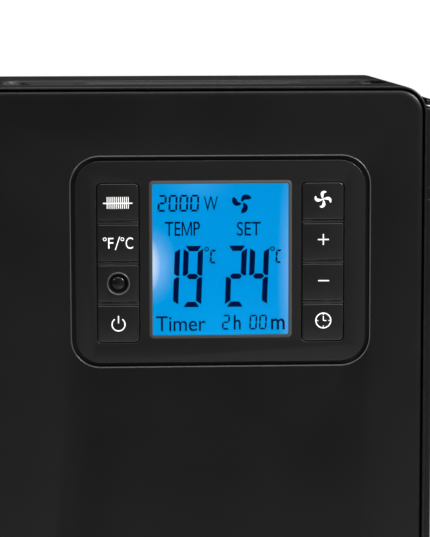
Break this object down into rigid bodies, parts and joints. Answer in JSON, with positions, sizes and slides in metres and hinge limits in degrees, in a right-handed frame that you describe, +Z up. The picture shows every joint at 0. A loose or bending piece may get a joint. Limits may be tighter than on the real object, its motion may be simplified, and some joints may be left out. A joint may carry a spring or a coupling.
{
  "type": "oil filled radiator heater",
  "caption": "Oil filled radiator heater on castors: a row of pressed oil fins and a control tower with lit display, key panel, fan heater outlet and flush folding handle.",
  "frame": {"origin": "on the floor, under the centre of the whole heater's box", "axes": "+X along the row of fins towards the control tower, +Y to the back, so the control panel faces -Y, +Z up"},
  "size_m": [0.5624, 0.23, 0.63],
  "materials": {
    "fin_paint": "satin black enamel on pressed steel",
    "cover_black": "satin black, slightly rough",
    "rail_paint": "satin black enamel",
    "zinc_steel": "zinc plated",
    "aluminium_sheet": "mill finish",
    "black_plastic": "fine grained",
    "gloss_black": "smooth satin",
    "blue_display": "clear, lit from behind",
    "white_plastic": "moulded",
    "circuit_board": "solder resist",
    "heater_ceramic": "unglazed with metal fins",
    "brass_bob": "turned",
    "fork_steel": "black passivated",
    "wheel_plastic": "hard tread"
  },
  "bodies": {
    "heater": {"fin_1": "fin_paint", "fin_2": "fin_paint", "fin_3": "fin_paint", "fin_4": "fin_paint", "fin_5": "fin_paint", "fin_6": "fin_paint", "fin_7": "fin_paint", "header_plug_low": "zinc_steel", "header_plug_high": "zinc_steel", "heating_element": "zinc_steel", "tower_shell": "cover_black", "front_cover": "cover_black", "rear_cover": "cover_black", "cover_screw_low_left": "zinc_steel", "cover_screw_high_left": "zinc_steel", "cover_screw_low_right": "zinc_steel", "cover_screw_high_right": "zinc_steel", "side_panel": "cover_black", "handle_tray": "black_plastic", "handle_pin_left": "zinc_steel", "handle_pin_right": "zinc_steel", "panel_bezel": "gloss_black", "display_lens": "blue_display", "lcd_cell": "blue_display", "backlight": "white_plastic", "ir_tile": "gloss_black", "ir_lens": "gloss_black", "control_board": "circuit_board", "power_board": "circuit_board", "heat_shield": "aluminium_sheet", "thermal_cutout": "white_plastic", "fan_housing": "black_plastic", "fan_motor": "zinc_steel", "ptc_heater": "heater_ceramic", "outlet_grille": "black_plastic", "tilt_switch_bracket": "zinc_steel", "cable_gland": "black_plastic", "foot_rail_left": "rail_paint", "foot_rail_right": "rail_paint", "u_bolt": "zinc_steel", "wing_nut_front": "zinc_steel", "wing_nut_rear": "zinc_steel"},
    "handle": {"handle": "black_plastic"},
    "fan_wheel": {"fan_wheel": "black_plastic"},
    "tilt_pendulum": {"tilt_pendulum": "brass_bob"},
    "key_heat": {"key_heat": "gloss_black"},
    "key_unit": {"key_unit": "gloss_black"},
    "key_power": {"key_power": "gloss_black"},
    "key_fan": {"key_fan": "gloss_black"},
    "key_plus": {"key_plus": "gloss_black"},
    "key_minus": {"key_minus": "gloss_black"},
    "key_timer": {"key_timer": "gloss_black"},
    "castor_front_left": {"castor_fork_front_left": "fork_steel"},
    "wheel_front_left": {"castor_wheel_front_left": "wheel_plastic"},
    "castor_rear_left": {"castor_fork_rear_left": "fork_steel"},
    "wheel_rear_left": {"castor_wheel_rear_left": "wheel_plastic"},
    "castor_front_right": {"castor_fork_front_right": "fork_steel"},
    "wheel_front_right": {"castor_wheel_front_right": "wheel_plastic"},
    "castor_rear_right": {"castor_fork_rear_right": "fork_steel"},
    "wheel_rear_right": {"castor_wheel_rear_right": "wheel_plastic"}
  },
  "joints": [
    {"name": "handle_hinge", "type": "hinge", "parent": "heater", "child": "handle", "pos_m": [0.1758, 0, 0.6252], "axis": [-1, 0, 0], "range_deg": [0, 90]},
    {"name": "fan_spin", "type": "hinge", "parent": "heater", "child": "fan_wheel", "pos_m": [0.1758, -0.012, 0.18], "axis": [0, 1, 0], "continuous": true},
    {"name": "tilt_swing", "type": "hinge", "parent": "heater", "child": "tilt_pendulum", "pos_m": [0.255, -0.03, 0.108], "axis": [0, 1, 0], "range_deg": [-20, 20]},
    {"name": "press_heat", "type": "slide", "parent": "heater", "child": "key_heat", "axis": [0, 1, 0], "range_m": [0, 0.001], "stiffness_N_per_m": 600, "springref_m": -0.0012},
    {"name": "press_unit", "type": "slide", "parent": "heater", "child": "key_unit", "axis": [0, 1, 0], "range_m": [0, 0.001], "stiffness_N_per_m": 600, "springref_m": -0.0012},
    {"name": "press_power", "type": "slide", "parent": "heater", "child": "key_power", "axis": [0, 1, 0], "range_m": [0, 0.001], "stiffness_N_per_m": 600, "springref_m": -0.0012},
    {"name": "press_fan", "type": "slide", "parent": "heater", "child": "key_fan", "axis": [0, 1, 0], "range_m": [0, 0.001], "stiffness_N_per_m": 600, "springref_m": -0.0012},
    {"name": "press_plus", "type": "slide", "parent": "heater", "child": "key_plus", "axis": [0, 1, 0], "range_m": [0, 0.001], "stiffness_N_per_m": 600, "springref_m": -0.0012},
    {"name": "press_minus", "type": "slide", "parent": "heater", "child": "key_minus", "axis": [0, 1, 0], "range_m": [0, 0.001], "stiffness_N_per_m": 600, "springref_m": -0.0012},
    {"name": "press_timer", "type": "slide", "parent": "heater", "child": "key_timer", "axis": [0, 1, 0], "range_m": [0, 0.001], "stiffness_N_per_m": 600, "springref_m": -0.0012},
    {"name": "swivel_front_left", "type": "hinge", "parent": "heater", "child": "castor_front_left", "pos_m": [-0.22705, -0.096, 0.0495], "axis": [0, 0, 1], "continuous": true},
    {"name": "roll_front_left", "type": "hinge", "parent": "castor_front_left", "child": "wheel_front_left", "pos_m": [-0.23905, -0.096, 0.021], "axis": [0, 1, 0], "continuous": true},
    {"name": "swivel_rear_left", "type": "hinge", "parent": "heater", "child": "castor_rear_left", "pos_m": [-0.22705, 0.096, 0.0495], "axis": [0, 0, 1], "continuous": true},
    {"name": "roll_rear_left", "type": "hinge", "parent": "castor_rear_left", "child": "wheel_rear_left", "pos_m": [-0.23905, 0.096, 0.021], "axis": [0, 1, 0], "continuous": true},
    {"name": "swivel_front_right", "type": "hinge", "parent": "heater", "child": "castor_front_right", "pos_m": [0.2, -0.096, 0.0495], "axis": [0, 0, 1], "continuous": true},
    {"name": "roll_front_right", "type": "hinge", "parent": "castor_front_right", "child": "wheel_front_right", "pos_m": [0.188, -0.096, 0.021], "axis": [0, 1, 0], "continuous": true},
    {"name": "swivel_rear_right", "type": "hinge", "parent": "heater", "child": "castor_rear_right", "pos_m": [0.2, 0.096, 0.0495], "axis": [0, 0, 1], "continuous": true},
    {"name": "roll_rear_right", "type": "hinge", "parent": "castor_rear_right", "child": "wheel_rear_right", "pos_m": [0.188, 0.096, 0.021], "axis": [0, 1, 0], "continuous": true}
  ]
}
